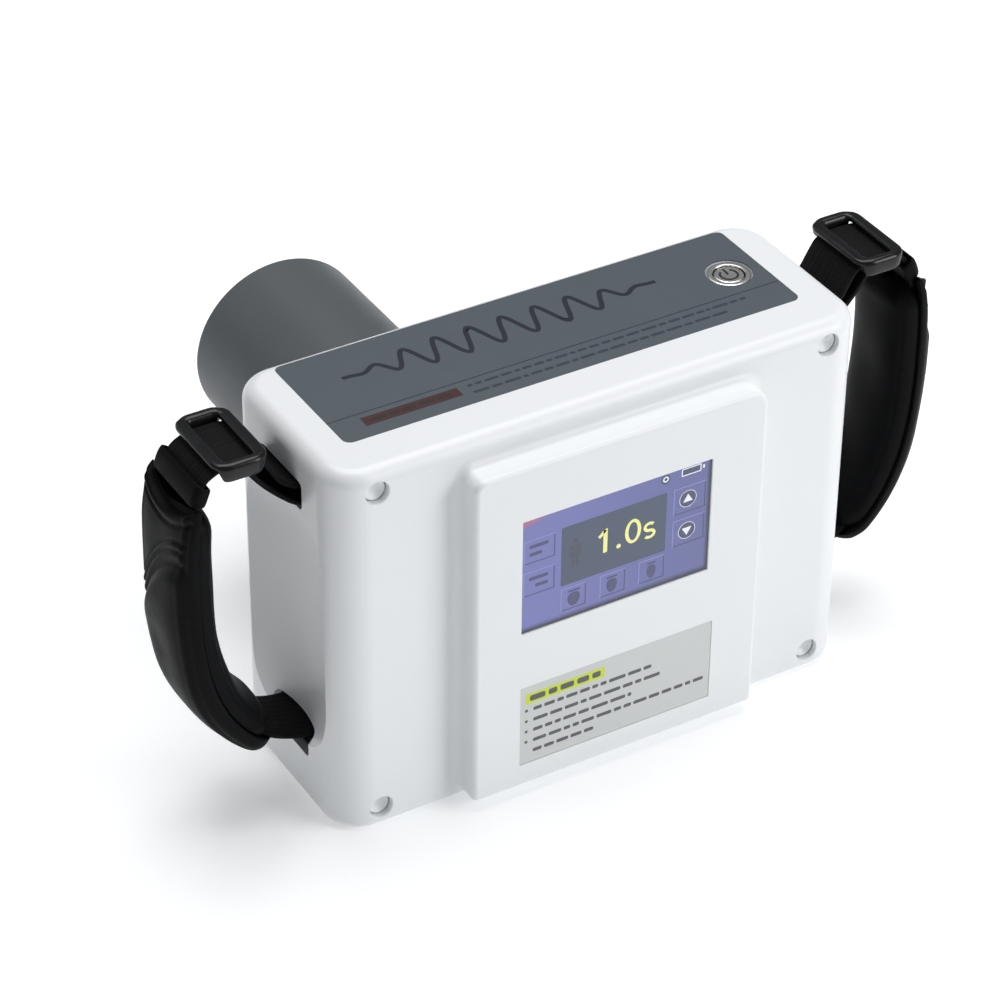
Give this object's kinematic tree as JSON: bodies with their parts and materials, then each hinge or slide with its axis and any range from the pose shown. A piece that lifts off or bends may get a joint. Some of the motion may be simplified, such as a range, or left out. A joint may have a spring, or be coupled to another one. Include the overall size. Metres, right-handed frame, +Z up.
{
  "type": "intraoral x-ray unit",
  "caption": "Hand-held dental x-ray unit: white box casing with raised display panel, push button on top, grey cylindrical cone and padded hand straps at both sides.",
  "frame": {"origin": "middle of the casing's flat base, under the middle of its width and depth", "axes": "+Z up from the flat base, +Y from the operator's side towards the cone's mouth, +X to the operator's right, across the width with the straps"},
  "size_m": [0.2362, 0.1414, 0.1213],
  "materials": {
    "white_abs": "satin moulded ABS",
    "grey_abs": "satin moulded plastic",
    "black_acetal": "moulded acetal",
    "black_nylon": "woven nylon webbing",
    "black_leatherette": "grained leatherette over foam",
    "steel": "plain steel",
    "chrome": "polished",
    "lead": "dull lead sheet",
    "aluminium": "milled",
    "copper": "machined copper",
    "tube_glass": "clear borosilicate",
    "screen_glass": "cover glass over a lit display",
    "label_blue_grey": "printed polycarbonate overlay",
    "label_grey": "printed polyester label",
    "gasket_rubber": "moulded silicone",
    "circuit_board": "glass-fibre circuit board",
    "battery_wrap": "shrink wrap over cells",
    "ferrite": "sintered ferrite",
    "winding": "enamelled copper wire"
  },
  "bodies": {
    "unit": {"rear_case": "white_abs", "front_cover": "white_abs", "case_gasket": "gasket_rubber", "case_screw_1": "steel", "case_screw_2": "steel", "case_screw_3": "steel", "case_screw_4": "steel", "case_plug_1": "white_abs", "case_plug_2": "white_abs", "case_plug_3": "white_abs", "case_plug_4": "white_abs", "screen_lens": "screen_glass", "display_module": "black_acetal", "display_frame": "aluminium", "top_label": "label_blue_grey", "info_label": "label_grey", "button_bezel": "chrome", "button_nut": "steel", "button_spring": "steel", "button_switch": "black_acetal", "cone_tube": "grey_abs", "cone_ring": "grey_abs", "cone_liner": "lead", "collimator_plate": "lead", "filter_disc": "aluminium", "tank_body": "aluminium", "tank_lid": "aluminium", "tube_envelope": "tube_glass", "tube_anode": "copper", "tube_cathode": "steel", "transformer_core": "ferrite", "transformer_coil": "winding", "multiplier_board": "circuit_board", "control_board": "circuit_board", "buzzer": "black_acetal", "battery_pack": "battery_wrap", "battery_tray": "white_abs", "charge_socket": "black_acetal", "strap_webbing_right": "black_nylon", "strap_pad_outer_right": "black_leatherette", "strap_pad_inner_right": "black_leatherette", "strap_keeper_right": "black_leatherette", "strap_anchor_upper_right": "black_acetal", "strap_anchor_lower_right": "black_acetal", "anchor_pin_upper_right": "steel", "anchor_pin_lower_right": "steel", "strap_webbing_left": "black_nylon", "strap_pad_outer_left": "black_leatherette", "strap_pad_inner_left": "black_leatherette", "strap_keeper_left": "black_leatherette", "strap_anchor_upper_left": "black_acetal", "strap_anchor_lower_left": "black_acetal", "anchor_pin_upper_left": "steel", "anchor_pin_lower_left": "steel"},
    "button": {"button_cap": "chrome"},
    "slider_left": {"strap_slider_left": "black_acetal"},
    "slider_right": {"strap_slider_right": "black_acetal"}
  },
  "joints": [
    {"name": "button_press", "type": "slide", "parent": "unit", "child": "button", "axis": [0, 0, -1], "range_m": [0, 0.001], "stiffness_N_per_m": 2000, "springref_m": -0.0007},
    {"name": "slider_left_adjust", "type": "slide", "parent": "unit", "child": "slider_left", "axis": [-1, 0, 0], "range_m": [-0.002, 0.002]},
    {"name": "slider_right_adjust", "type": "slide", "parent": "unit", "child": "slider_right", "axis": [1, 0, 0], "range_m": [-0.002, 0.002]}
  ]
}
